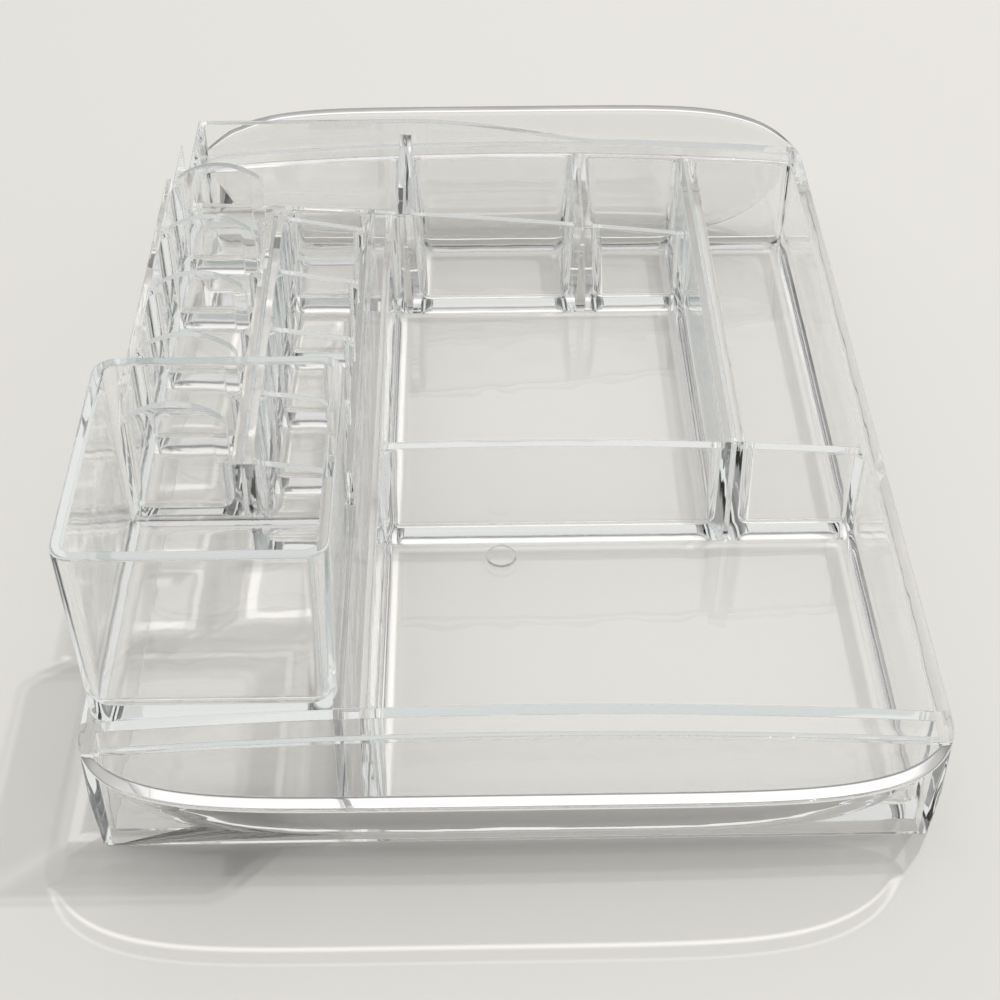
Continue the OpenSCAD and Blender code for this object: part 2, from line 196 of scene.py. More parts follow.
def prism(outline, axis, start, end):
    """An outline carried straight along one axis. Its two coordinates are the other two axes in order."""
    outline = np.asarray(outline, float)
    x, y = outline[:, 0], outline[:, 1]
    turn = np.sum(x * np.roll(y, -1) - np.roll(x, -1) * y)
    if (turn > 0) == (axis == 1):
        outline = outline[::-1]
    return loft([np.insert(outline, axis, place, axis=1) for place in (start, end)])


def box(x, y, z):
    """A plain block."""
    return prism([(x[0], y[0]), (x[1], y[0]), (x[1], y[1]), (x[0], y[1])], 2, z[0], z[1])


def wall_y(x, y, top, foot=0.0):
    """A wall that runs across the tray, with a top given by its height at each place across."""
    across = np.linspace(*x, 33)
    return prism([(x[1], foot), (x[0], foot), *np.stack([across, top(across)], axis=-1)], 1, *y)


def wall_x(x, profile, foot=0.0):
    """A wall that runs along the tray, with a top given as points of place and height."""
    return prism([(profile[-1][0], foot), (profile[0][0], foot)] + list(profile), 0, *x)


block = box((0, 1), (0, 1), (0, 1))
print("a block:", len(block[0]), "points,", len(block[1]), "faces")


# %% [markdown]
# ## Tubs
# A tub is the space of a compartment, not its walls. Cutting it out leaves the rounded corners, the foot
# radius and the draft that let the real moulding leave its mould. A Bevel modifier could round the walls
# instead, but it would have to be told which of their edges stay sharp.

# %% Tubs
def merge(solids):
    """Several closed solids that don't touch, as one list of points and faces."""
    points, faces, base = [], [], 0
    for p, f in solids:
        points.append(p)
        faces += [[base + i for i in face] for face in f]
        base += len(p)
    return np.concatenate(points), faces


def rounded(x, y, r, steps=6):
    """The outline of a rectangle with rounded corners, anticlockwise from above."""
    left, right, front, back = x[0] + r, x[1] - r, y[0] + r, y[1] - r
    centres = np.array([(right, back), (left, back), (left, front), (right, front)])[:, None]
    angles = np.radians(np.linspace(0, 90, steps + 1)) + np.radians([[0], [90], [180], [270]])
    return (centres + r * np.stack([np.cos(angles), np.sin(angles)], axis=-1)).reshape(-1, 2)


def tub(x, y, floor, corner=3.5, draft=0.35, mouth=40.0, widen=(0, 0), lip=0.0):
    """The space of a compartment: a flat floor, a quarter-round foot, walls that lean out by the draft up to
    the mouth, and a lip that rounds the rim over. Widen moves the left and right faces out at the mouth."""
    foot = min(FOOT_R, 0.45 * (x[1] - x[0]), 0.45 * (y[1] - y[0]))
    turn = np.radians(np.linspace(0, 90, 8))
    rings = [(foot * (1 - math.sin(a)) + draft, floor + foot * (1 - math.cos(a)), 0) for a in turn]
    rings += [(0.0, mouth - lip, 1)]
    if lip:
        rings += [(-lip * (1 - math.cos(a)), mouth - lip + lip * math.sin(a), 1) for a in turn[1::2]]
    rings += [(rings[-1][0], ABOVE, 1)]
    out = []
    for inset, z, wide in rings:
        plan = rounded((x[0] + inset - wide * widen[0], x[1] - inset + wide * widen[1]),
                       (y[0] + inset, y[1] - inset), max(0.8, corner - 0.5 * inset))
        out.append(np.insert(plan, 2, z, axis=1))
    return loft(out)


print("a tub:", len(tub((0, 50), (0, 50), FLOOR_T)[0]), "points")


# %% [markdown]
# ## Joining and cutting
# Walls that only overlap would do for wood, but clear plastic shows every face inside it. So each solid
# is joined to the moulding or cut out of it with Blender's Boolean modifier. Its manifold solver is quick
# and keeps a closed solid closed.

# %% Joining and cutting
def make(name, solid):
    """An object from a list of points and faces."""
    return mesh_object(name, *solid)


def boolean(piece, other, operation):
    """Joins, cuts or crosses one solid with another and keeps only the result."""
    step = piece.modifiers.new("step", "BOOLEAN")
    step.operation, step.solver, step.object = operation, "MANIFOLD", other
    done = bpy.data.meshes.new_from_object(piece.evaluated_get(bpy.context.evaluated_depsgraph_get()))
    piece.modifiers.clear()
    old, piece.data = piece.data, done
    bpy.data.meshes.remove(old)
    bpy.data.objects.remove(other)
    return piece


print("ways to combine two solids: UNION, DIFFERENCE, INTERSECT")

# %% [markdown]
# ## The body
# Side walls, end panels and floors, crossed with the outer form of the mould. That form is narrower at
# its foot on all four sides, and its corners turn in to meet the handles. One shell could be lofted from
# foot to rim, but its top would have to step and arch. Plain pieces crossed with plain forms are simpler.
# A floor begins as a slab that reaches a little above its foot radius, which is cut into it later.

# %% The body
BOW, HANDLE_T, HANDLE_RISE, LEAN = 23.2, 5.0, 5.2, 0.66
BOW_POWERS = (6, 0.55)
SLAB = FOOT_R + 0.2


def bow(x):
    """How far a handle's rim stands out: one less the share of the half width to a high power, rooted."""
    return (BOW + CORNER_L) * (1 - (np.abs(x) / HALF_W) ** BOW_POWERS[0]) ** BOW_POWERS[1] - CORNER_L


EDGE_X = HALF_W * (1 - (CORNER_L / (BOW + CORNER_L)) ** (1 / BOW_POWERS[1])) ** (1 / BOW_POWERS[0])
CORNER_R = (CORNER_L ** 2 + (HALF_W - EDGE_X) ** 2) / (2 * (HALF_W - EDGE_X))


def body_plan():
    """The outline from above: straight sides and ends, joined by a short arc at each corner."""
    angles = np.linspace(0, math.asin(CORNER_L / CORNER_R), 9)
    centre = (HALF_W - CORNER_R, END_Y - CORNER_L)
    corner = centre + CORNER_R * np.stack([np.cos(angles), np.sin(angles)], axis=-1)
    flip = corner[::-1] * (-1, 1)
    return np.concatenate([corner, flip, -corner, -flip])


solids = [
    box((-HALF_W, LEFT_IN), (-END_Y, END_Y), (0, RIM_H)),
    box((RIGHT_IN, HALF_W), (-END_Y, END_Y), (0, RIM_H)),
    box((-HALF_W, HALF_W), (FRONT_IN - 1, BACK_IN + 1), (0, FLOOR_T + SLAB)),
    box((-HALF_W, BLOCK_X1), (FRONT_IN - 1, SLOT_Y0 + 0.1), (0, RIM_H)),
    wall_y((-HALF_W, HALF_W), (-END_Y, FRONT_IN), rim_z),
    wall_y((-HALF_W, HALF_W), (BACK_IN, END_Y), rim_z),
    wall_y((-HALF_W + STEP_IN, HALF_W), (END_Y - WEB_T, END_Y), panel_z),
    wall_x((-HALF_W + STEP_IN, LEFT_IN),
           [(SLOT_Y0, TALL_H), (LAST, TALL_H), (ROW_IN, PANEL_H), (END_Y, PANEL_H)]),
]
moulding = make("moulding", solids[0])
for solid in solids[1:]:
    boolean(moulding, make("adding", solid), "UNION")
sides = [(FOOT_IN - HALF_W, 0), (HALF_W - FOOT_IN, 0), (HALF_W, RIM_H),
         (HALF_W, ABOVE), (-HALF_W, ABOVE), (-HALF_W, RIM_H)]
ends = [(FOOT_IN - END_Y, 0), (END_Y - FOOT_IN, 0), (END_Y, RIM_TOP),
        (END_Y, ABOVE), (-END_Y, ABOVE), (-END_Y, RIM_TOP)]
boolean(moulding, make("sides", prism(sides, 1, -END_Y - 1, END_Y + 1)), "INTERSECT")
boolean(moulding, make("ends", prism(ends, 0, -HALF_W - 1, HALF_W + 1)), "INTERSECT")
boolean(moulding, make("plan", prism(body_plan(), 2, -1, ABOVE)), "INTERSECT")
print("body:", len(moulding.data.polygons), "faces, corner radius", round(CORNER_R, 1))

# %% [markdown]
# ## Walls and slots
# The walls between compartments, with tops that arch, fall or follow the block of slots. The block
# stands on a raised deck. Its tall dividers are arched and end in a free rounded shoulder, and its low
# ones slope. Most pieces reach a hair's breadth, E, into their neighbours, because two faces that lie in
# one plane don't always join.

# %% Walls and slots
E = 0.02
CROSS_LEAN, CROSS_END = (CROSS_W - CROSS_TOP) / 2 / (PANEL_H - FLOOR_T - FOOT_R), 60.0
low_end = float(row_z(SPINE[0]))
solids = [
    wall_y((TRAY_IN - E, RIGHT_IN + E), (FRONT_END, MIDDLE_IN), gate_z),
    wall_y((LEFT_IN - E, DIVIDER_X0 + E), (BLOCK_END, ROW_IN), row_z),
    box((DIVIDER_X0, LONG_X0), (FRONT_END, BACK_IN + E), (0, DIVIDER_H)),
    box((TRAY_X0, TRAY_IN), (FRONT_IN - E, BLOCK_END + E), (0, CHANNEL_TOP)),
    box((BLOCK_X1 - WALL_T, TRAY_X0 + E), (FRONT_IN - E, BLOCK_END + E), (0, CHANNEL_TOP)),
    box((LEFT_IN - E, SPINE[0] + WALL_T), (SLOT_Y0 - E, BLOCK_END + E), (0, DECK + SLAB)),
    box((SPINE[0], LOW_X1 + E), (SLOT_Y0 - E, BLOCK_END + E), (0, LOW_FLOOR + SLAB)),
    wall_x(SPINE, [(SLOT_Y0, LOW_H), (LAST, LOW_H), (BLOCK_END + E, low_end)]),
    wall_x((LOW_X1, BLOCK_X1), [(SLOT_Y0, SIDE_H), (LAST, SIDE_H), (BLOCK_END + E, float(row_z(BLOCK_X1)))]),
]


def cross_form(x, top):
    """A back row divider seen from the front: straight beside the floors, then narrower towards the top."""
    foot = FLOOR_T + FOOT_R
    inset = CROSS_LEAN * (top - foot)
    right = x + CROSS_W
    return [(x, 0), (right, 0), (right, foot), (right - inset, top), (x + inset, top), (x, foot)]


def tall_top(x):
    """The top of a tall divider: its arch, then the rounded shoulder beside the spine."""
    half = TALL_W / 2
    big = (half * half + TALL_RISE ** 2) / (2 * TALL_RISE)
    middle, base = LEFT_IN + half, TALL_H + TALL_RISE - big
    centre = (SPINE[0] - SHOULDER_R, base + math.sqrt((big - SHOULDER_R) ** 2 - (half - SHOULDER_R) ** 2))
    tangent = middle + (half - SHOULDER_R) * big / (big - SHOULDER_R)
    arch = base + np.sqrt(big * big - (x - middle) ** 2)
    shoulder = centre[1] + np.sqrt(np.maximum(0, SHOULDER_R ** 2 - (x - centre[0]) ** 2))
    return np.where(x < tangent, arch, shoulder)


tall_xs = np.concatenate([np.linspace(LEFT_IN - E, SPINE[0] - SHOULDER_R, 20),
                          SPINE[0] - SHOULDER_R + SHOULDER_R * np.sin(np.radians(np.linspace(8, 90, 11)))])
tall_outline = [(SPINE[0], DECK), (LEFT_IN - E, DECK), *np.stack([tall_xs, tall_top(tall_xs)], axis=-1)]
low_outline = [(SPINE[1] - E, LOW_FLOOR), (SPINE[1] - E, LOW_H),
               (LOW_X1 + E, SIDE_H), (LOW_X1 + E, LOW_FLOOR)]
for y in DIVIDERS:
    solids += [prism(tall_outline, 1, y, y + WALL_T), prism(low_outline, 1, y, y + WALL_T)]

for solid in solids:
    boolean(moulding, make("adding", solid), "UNION")
for x in CROSS:
    middle = x + CROSS_W / 2
    divider = make("divider", prism(cross_form(x, CROSS_END), 1, BLOCK_END, BACK_IN + E))
    side = [(BLOCK_END - 1, -1), (BACK_IN + 1, -1),
            (BACK_IN + 1, float(panel_z(middle))), (BLOCK_END - 1, float(row_z(middle)))]
    boolean(divider, make("side", prism(side, 0, x - 1, x + CROSS_W + 1)), "INTERSECT")
    boolean(moulding, divider, "UNION")
print("walls:", len(moulding.data.polygons), "faces")

# %% [markdown]
# ## Cup and handles
# The cup is a drafted block with a rounded rim, standing a little inside the body's own rim.
#
# A handle leans out from the end panel to a rim that is a squared-off bow in plan and rises to its
# middle. The outer face starts low on the panel, the inner face a little higher, and both edges of
# the rim are rounded: a round is a quadratic curve from one face to the next. A Bevel modifier could do
# that, but not with a width that shrinks as the rim thins towards its ends.

# %% Cup and handles
CUP_LIP, RIM_ROUND, INNER_START = 0.6, 1.2, 0.12
END_GAP, HOLD = 0.3, 0.6


def drafted(x, y, z, r, lean, lip):
    """A block with rounded corners, narrower at its foot by a lean on every side, with a rounded top edge."""
    turn = np.radians(np.linspace(0, 90, 5))
    rings = [(lean, z[0])] + [(lip * (1 - math.cos(a)), z[1] - lip + lip * math.sin(a)) for a in turn]
    return loft([np.insert(rounded((x[0] + i, x[1] - i), (y[0] + i, y[1] - i), r), 2, h, axis=1)
                 for i, h in rings])


cup = drafted((-HALF_W, BLOCK_X1), CUP_Y, (RIM_H - 0.5, CUP_H), CUP_R, CUP_DRAFT, CUP_LIP)
boolean(moulding, make("cup", cup), "UNION")


def round_corner(before, corner, after, r):
    """Five points of a quadratic curve that rounds a corner, starting and ending at a distance r from it."""
    a, b = (corner + (p - corner) * r / np.linalg.norm(p - corner, axis=-1, keepdims=True)
            for p in (before, after))
    return [(1 - t) ** 2 * a + 2 * t * (1 - t) * corner + t * t * b for t in np.linspace(0, 1, 5)]


def handle(sign):
    """Sections from one end to the other, each drawn as reach from the end plane and height. The fold is
    where the leaning outer face meets the panel, and the inner face starts a share of the way up from it."""
    x = -(EDGE_X - END_GAP) * np.cos(np.linspace(0, np.pi, 89))
    reach = bow(x)
    lip = np.minimum(HANDLE_T, 0.8 * reach)
    z = RIM_H + HANDLE_RISE * reach / BOW
    fold = np.maximum((LEAN * z - reach - FOOT_IN) / (LEAN - FOOT_IN / RIM_TOP), FLOOR_T / 2)
    inner = fold + INNER_START * (z - fold)
    low, high = (np.stack([FOOT_IN * (h / RIM_TOP - 1), h], axis=-1) for h in (fold, inner))
    outer_rim, inner_rim = np.stack([reach, z], axis=-1), np.stack([reach - lip, z], axis=-1)
    r = np.minimum(RIM_ROUND, 0.4 * lip)[:, None]
    section = round_corner(low, outer_rim, inner_rim, r) + round_corner(outer_rim, inner_rim, high, r)
    section += [high, high - (HOLD, 0), low - (HOLD, 0), low]
    reach, z = np.moveaxis(np.stack(section[::-sign], axis=1), -1, 0)
    return loft(np.stack([np.broadcast_to(x[:, None], z.shape), sign * (END_Y + reach), z], axis=-1))


for sign in (-1, 1):
    boolean(moulding, make("handle", handle(sign)), "UNION")
print("with cup and handles:", len(moulding.data.polygons), "faces")

# %% [markdown]
# ## Cut from above
# Thin strips inside every compartment give its tub something to leave: the corner rounds and the draft.
# Each strip has its root in its wall and stops just under the wall's top, so the tub shapes both at once.

# %% Cut from above
LINING, BELOW, CORNER, ROOT = 1.2, 0.6, 4.0, 0.3


def level(height):
    """A wall top that is the same everywhere."""
    return lambda place: height


def strip_profile(span, top, start, end):
    """Points along a strip: under its own wall's top, and near a corner no higher than the wall met there."""
    a, b = span
    places = [a, a + CORNER, *np.linspace(a + CORNER + E, b - CORNER - E, 9), b - CORNER, b]
    heights = [float(top(v)) for v in places]
    for k, meets in ((0, start), (1, start), (-2, end), (-1, end)):
        heights[k] = min(heights[k], float(meets))
    return [(float(v), h - BELOW) for v, h in zip(places, heights)]


def lining(x, y, left, right, front, back, reach=(ROOT, ROOT)):
    """Four strips just inside a compartment, one for each wall, under tops given along that wall."""
    strips = []
    sides = (((x[0] - reach[0], x[0] + LINING), left, x[0]), ((x[1] - LINING, x[1] + reach[1]), right, x[1]))
    for span, top, at in sides:
        strips.append(wall_x(span, strip_profile(y, top, front(at), back(at)), 1))
    ends = (((y[0] - ROOT, y[0] + LINING), front, y[0]), ((y[1] - LINING, y[1] + ROOT), back, y[1]))
    for span, top, at in ends:
        profile = strip_profile(x, top, left(at), right(at))
        strips.append(prism([(x[1], 1), (x[0], 1)] + profile, 1, *span))
    return strips


def cross_top(x):
    """The sloping top of a back row divider."""
    middle = x + CROSS_W / 2
    ends = (float(row_z(middle)), float(panel_z(middle)))
    return lambda y: np.interp(y, (BLOCK_END, BACK_IN), ends)


def fall(height):
    """A wall beside the slots: level, then falling to the back row."""
    return lambda y: np.interp(y, (LAST, BLOCK_END), height)


rim, channel, divider = level(RIM_H), level(CHANNEL_TOP), level(DIVIDER_H)
slope = (PANEL_H - FLOOR_T - FOOT_R) * CROSS_LEAN
MOUTH = 40
row = (ROW_IN, BACK_IN)
first, second = (cross_top(x) for x in CROSS)
rooms = [
    ((TRAY_IN, RIGHT_IN), (FRONT_IN, FRONT_END), channel, rim, rim_z, gate_z, (0, 0), MOUTH),
    ((TRAY_IN, DIVIDER_X0), (MIDDLE_IN, BLOCK_END), channel, divider, gate_z, row_z, (0, 0), MOUTH),
    ((LONG_X0, RIGHT_IN), (MIDDLE_IN, BACK_IN), divider, rim, gate_z, rim_z, (0, 0), MOUTH),
    ((LEFT_IN, CROSS[0]), row, level(PANEL_H), first, row_z, rim_z, (0, slope), PANEL_H),
    ((CROSS[0] + CROSS_W, CROSS[1]), row, first, second, row_z, rim_z, (slope, slope), PANEL_H),
    ((CROSS[1] + CROSS_W, DIVIDER_X0), row, second, divider, row_z, rim_z, (slope, 0), PANEL_H),
]
tubs = []
for x, y, left, right, front, back, widen, mouth in rooms:
    for strip in lining(x, y, left, right, front, back, reach=[ROOT + w for w in widen]):
        boolean(moulding, make("strip", strip), "UNION")
    tubs.append(tub(x, y, FLOOR_T, widen=widen, mouth=mouth))
tubs.append(tub((-HALF_W + CUP_T, BLOCK_X1 - CUP_T), (CUP_Y[0] + CUP_T, CUP_Y[1] - CUP_T), DECK,
                corner=CUP_R - CUP_T, draft=CUP_DRAFT, mouth=CUP_H, lip=CUP_LIP))
print("tubs:", len(tubs), "of which", len(rooms), "are open compartments")


# %% [markdown]
# ## The slots
# Every slot has its own tub. The last pair lies against the back row's front wall, which has another top
# than a divider.

# %% The slots
def low_top(x):
    """The sloping top of a low divider: a straight line from the spine to the wall beside the channel."""
    return np.interp(x, (SPINE[1], LOW_X1), (LOW_H, SIDE_H))


spine_top = fall((LOW_H, low_end))
side_top = fall((SIDE_H, float(row_z(BLOCK_X1))))
for k, cell in enumerate(CELLS):
    tall_back, low_back = (tall_top, low_top) if k < 4 else (row_z, row_z)
    strips = lining((LEFT_IN, SPINE[0]), cell, level(TALL_H), spine_top, tall_top, tall_back)
    strips += lining((SPINE[1], LOW_X1), cell, spine_top, side_top, low_top, low_back)
    for strip in strips:
        boolean(moulding, make("strip", strip), "UNION")
    tubs.append(tub((LEFT_IN, SPINE[0]), cell, DECK, corner=3.0, draft=0.3, mouth=TALL_H))
    tubs.append(tub((SPINE[1], LOW_X1), cell, LOW_FLOOR, corner=3.0, draft=0.3, mouth=LOW_H))
boolean(moulding, make("tubs", merge(tubs)), "DIFFERENCE")
print("cut from above:", len(moulding.data.polygons), "faces")

# %% [markdown]
# ## Cut from below
# The deck, the slot floors, the channel, every double wall and both end ledges are hollow underneath. A
# moulding is, because plastic of one thickness cools evenly. A Solidify modifier on open sheets would give
# such walls too, but not with tops and floors of different thickness.

# %% Cut from below
hollows = [
    box((LEFT_IN, BLOCK_X1 - WALL_T), (FRONT_IN, SLOT_Y0), (-1, RIM_H)),
    box((LEFT_IN, SPINE[0] + WALL_T), (SLOT_Y0 - 0.1, BLOCK_END), (-1, RIM_H)),
    box((SPINE[0] + WALL_T - 0.1, LOW_X1), (SLOT_Y0 - 0.2, BLOCK_END), (-1, LOW_FLOOR - WEB_T)),
    box((BLOCK_X1, TRAY_X0), (FRONT_IN, BLOCK_END), (-1, CHANNEL_TOP - WEB_T)),
    box((DIVIDER_X0 + WALL_T, LONG_X0 - WALL_T), (MIDDLE_IN, BACK_IN), (-1, DIVIDER_H - WEB_T)),
    prism([(SLOT_Y0 + WALL_T, 10), (SLOT_Y0 + WALL_T, LOW_H - WEB_T), (LAST, LOW_H - WEB_T),
           (BLOCK_END - WALL_T, low_end - WEB_T), (BLOCK_END - WALL_T, 10)],
          0, SPINE[0] + WALL_T, SPINE[1] - WALL_T),
]
foot = FLOOR_T + FOOT_R
for x in CROSS:
    middle, half = x + CROSS_W / 2, CROSS_W / 2 - WALL_T
    top = float(row_z(middle)) - WEB_T
    slim = half - CROSS_LEAN * (top - foot)
    outline = [(middle - half, -1), (middle + half, -1), (middle + half, foot),
               (middle + slim, top), (middle - slim, top), (middle - half, foot)]
    hollows.append(prism(outline, 1, ROW_IN, BACK_IN - WALL_T))
for solid in hollows:
    boolean(moulding, make("hollow", solid), "DIFFERENCE")
print("hollows:", len(hollows))

# %% [markdown]
# ## Under the ends
# The hollow of an end ledge follows the arch of its web, and on its outer side the lean of the end panel.
# Last comes the small round mark that the mould's gate leaves on the front floor.

# %% Under the ends
for sign in (-1, 1):
    y = sorted(sign * v for v in (END_Y - FOOT_IN - WEB_T, END_Y - LEDGE + WALL_T))
    under_web = wall_y((LEFT_IN, RIGHT_IN), (y[0] - 5, y[1] + 5), lambda v: rim_z(v) - WEB_T, -1)
    hollow = make("hollow", under_web)
    section = [(END_Y - LEDGE + WALL_T, -2), (END_Y - FOOT_IN - WEB_T, -2), (END_Y - FOOT_IN - WEB_T, 0),
               (END_Y - WEB_T, RIM_TOP), (END_Y - LEDGE + WALL_T, RIM_TOP)]
    section = [(sign * v, h) for v, h in section]
    boolean(hollow, make("section", prism(section, 0, -HALF_W, HALF_W)), "INTERSECT")
    boolean(moulding, hollow, "DIFFERENCE")
mark_x = TRAY_IN + MARK_SHARE * (DIVIDER_X0 - TRAY_IN)
mark_y = FRONT_END - FOOT_R - MARK_D / 2
turn = np.linspace(0, 2 * np.pi, 49)[:-1]
mark = (mark_x, mark_y) + MARK_D / 2 * np.stack([np.cos(turn), np.sin(turn)], axis=-1)
boolean(moulding, make("mark", prism(mark, 2, FLOOR_T - 0.5, FLOOR_T + MARK_RISE)), "UNION")
print("cut from below:", len(moulding.data.polygons), "faces")

# %% [markdown]
# ## Colours and shader nodes
# Colours are written as a screen shows them and turned to light by one function. One small function adds
# a shader node, whatever its kind. The short names below are ways in which a node can work.

# %% Colours and shader nodes
def linear(code):
    """A colour written as six hex digits, turned from screen values to light."""
    parts = [int(code[i:i + 2], 16) / 255 for i in (1, 3, 5)]
    return [c / 12.92 if c <= 0.04045 else ((c + 0.055) / 1.055) ** 2.4 for c in parts] + [1.0]


def add(tree, kind, ways=None, **inputs):
    """One shader node with its ways of working and its inputs. An input is named, or numbered as i0, i1."""
    node = tree.nodes.new(kind)
    for name, value in (ways or {}).items():
        setattr(node, name, value)
    for name, value in inputs.items():
        numbered = name[0] == "i" and name[1:].isdigit()
        socket = node.inputs[int(name[1:]) if numbered else name]
        if isinstance(value, bpy.types.NodeSocket):
            tree.links.new(value, socket)
        else:
            socket.default_value = value
    return node


def new_material(name):
    """An empty material, its nodes and its output."""
    material = bpy.data.materials.new(name)
    material.use_nodes = True
    tree = material.node_tree
    tree.nodes.clear()
    return material, tree, tree.nodes.new("ShaderNodeOutputMaterial")


SMOOTH = {"interpolation_type": "SMOOTHSTEP"}
TIMES, PLUS = {"operation": "MULTIPLY"}, {"operation": "ADD"}
OVER, LARGER, SIZE = {"operation": "GREATER_THAN"}, {"operation": "MAXIMUM"}, {"operation": "ABSOLUTE"}
print("the table's colour as light:", [round(v, 2) for v in linear("#E5E4E1")[:3]])

# %% [markdown]
# ## Clear plastic: its surface
# Clear polystyrene, moulded in a polished mould. It has no colour and no grain, and bends light by an
# index of 1.59, so the eye knows it by its edges. The Principled shader could show it too, but the Glass
# shader has just what clear plastic needs. No moulded edge is sharp: the Bevel node turns the light over
# the last 0.4 mm before every edge.
#
# No moulded face is quite flat either. A noise with waves about 14 mm long tilts the surface a little, and
# up to six times as much at the tray's four corners, where the flow of plastic ends.

# %% Clear plastic: its surface
EDGE_ROUND, WAVE_LENGTH, WAVE_HEIGHT, CORNER_WAVE = 0.4, 1000 / 70, 0.12, 5.0
WAVY_X, WAVY_Y = (70 * MM, 92 * MM), (130 * MM, 138 * MM)
plastic, tree, out = new_material("clear polystyrene")
edge = add(tree, "ShaderNodeBevel", {"samples": 8}, Radius=EDGE_ROUND * MM)
where = add(tree, "ShaderNodeTexCoord").outputs["Object"]
waves = add(tree, "ShaderNodeTexNoise", Vector=where, Scale=1 / (WAVE_LENGTH * MM), Detail=1.0, Roughness=0.4)
spots = add(tree, "ShaderNodeSeparateXYZ", i0=where)
across = add(tree, "ShaderNodeMath", SIZE, i0=spots.outputs["X"]).outputs[0]
along = add(tree, "ShaderNodeMath", SIZE, i0=spots.outputs["Y"]).outputs[0]
beside = add(tree, "ShaderNodeMapRange", SMOOTH, i0=across, i1=WAVY_X[0], i2=WAVY_X[1], i3=0.0, i4=1.0)
beyond = add(tree, "ShaderNodeMapRange", SMOOTH, i0=along, i1=WAVY_Y[0], i2=WAVY_Y[1], i3=0.0, i4=CORNER_WAVE)
corners = add(tree, "ShaderNodeMath", TIMES, i0=beside.outputs[0], i1=beyond.outputs[0])
amount = add(tree, "ShaderNodeMath", PLUS, i0=corners.outputs[0], i1=1.0)
height = add(tree, "ShaderNodeMath", TIMES, i0=waves.outputs[0], i1=amount.outputs[0]).outputs[0]
soft_edge = edge.outputs[0]
wavy = add(tree, "ShaderNodeBump", Height=height, Normal=soft_edge, Strength=1.0, Distance=WAVE_HEIGHT * MM)
turned = wavy.outputs[0]
glass = add(tree, "ShaderNodeBsdfGlass", Color=linear("#FEFEFE"), Roughness=0.0, IOR=1.59, Normal=turned)
print("surface:", len(tree.nodes), "nodes")

# %% [markdown]
# ## Clear plastic: its shadow
# The renderer doesn't follow light that a clear form bends on to the table, or only with a grain that
# would take hours to clear. So rays that only look for a lamp, and rays that leave a matt face, go straight
# on at each face and keep a share of their light:
#
# - 0.985 at a level face and 0.91 at a steep one, which light crosses at more of a slant;
# - down to 0.72 of that where the ray only grazes the face;
# - 1.1 more at a face some 15 to 50 degrees off level. Those are the rounded edges of the handles and the
#   radii round the floors, which gather light as a lens does. It gives the shadow its bright outline.

# %% Clear plastic: its shadow
facing = add(tree, "ShaderNodeLayerWeight", Blend=0.5).outputs["Facing"]
normal = add(tree, "ShaderNodeSeparateXYZ", i0=add(tree, "ShaderNodeNewGeometry").outputs["Normal"])
upright = add(tree, "ShaderNodeMath", SIZE, i0=normal.outputs["Z"]).outputs[0]
kept = add(tree, "ShaderNodeMapRange", SMOOTH, i0=upright, i1=0.9, i2=0.98, i3=0.91, i4=0.985)
grazing = add(tree, "ShaderNodeMapRange", SMOOTH, i0=facing, i1=0.5, i2=0.8, i3=1.0, i4=0.72)
dimmed = add(tree, "ShaderNodeMath", TIMES, i0=kept.outputs[0], i1=grazing.outputs[0])
rising = add(tree, "ShaderNodeMapRange", SMOOTH, i0=upright, i1=0.6, i2=0.7, i3=0.0, i4=1.1)
falling = add(tree, "ShaderNodeMapRange", SMOOTH, i0=upright, i1=0.93, i2=0.985, i3=1.0, i4=0.0)
focus = add(tree, "ShaderNodeMath", TIMES, i0=rising.outputs[0], i1=falling.outputs[0])
through = add(tree, "ShaderNodeMath", PLUS, i0=dimmed.outputs[0], i1=focus.outputs[0])
straight = add(tree, "ShaderNodeBsdfTransparent", Color=through.outputs[0])
print("with the shadow:", len(tree.nodes), "nodes")

# %% [markdown]
# ## Clear plastic: light that stays inside
# Light can be reflected inside a wall many times. The renderer drops a ray after a few steps, and the
# place would be black. So after four reflections, or eleven steps of any kind, a ray goes straight on,
# and the table below answers it with a painted light, an even pale glow that stands in for a lit table.

# %% Clear plastic: light that stays inside
def often_turned(tree, path):
    """One where a ray has been reflected four times or has taken eleven steps, and nought elsewhere."""
    often = add(tree, "ShaderNodeMath", OVER, i0=path.outputs["Glossy Depth"], i1=3.5)
    long = add(tree, "ShaderNodeMath", OVER, i0=path.outputs["Ray Depth"], i1=10.5)
    return add(tree, "ShaderNodeMath", LARGER, i0=often.outputs[0], i1=long.outputs[0]).outputs[0]


path = add(tree, "ShaderNodeLightPath")
onward = add(tree, "ShaderNodeBsdfTransparent", Color=linear("#F4F5F5"))
lost = often_turned(tree, path)
seen = add(tree, "ShaderNodeMixShader", i0=lost, i1=glass.outputs[0], i2=onward.outputs[0])
shade, matt = path.outputs["Is Shadow Ray"], path.outputs["Is Diffuse Ray"]
unseen = add(tree, "ShaderNodeMath", LARGER, i0=shade, i1=matt)
both = add(tree, "ShaderNodeMixShader", i0=unseen.outputs[0], i1=seen.outputs[0], i2=straight.outputs[0])
tree.links.new(both.outputs[0], out.inputs["Surface"])
print("clear plastic:", len(tree.nodes), "nodes")

# %% [markdown]
# ## The finished moulding
# Faces that meet at less than 35 degrees are shaded as one round. Weighted normals keep the large flat
# faces flat right up to a small round, as they are on a moulding, and leave the turn to the round.

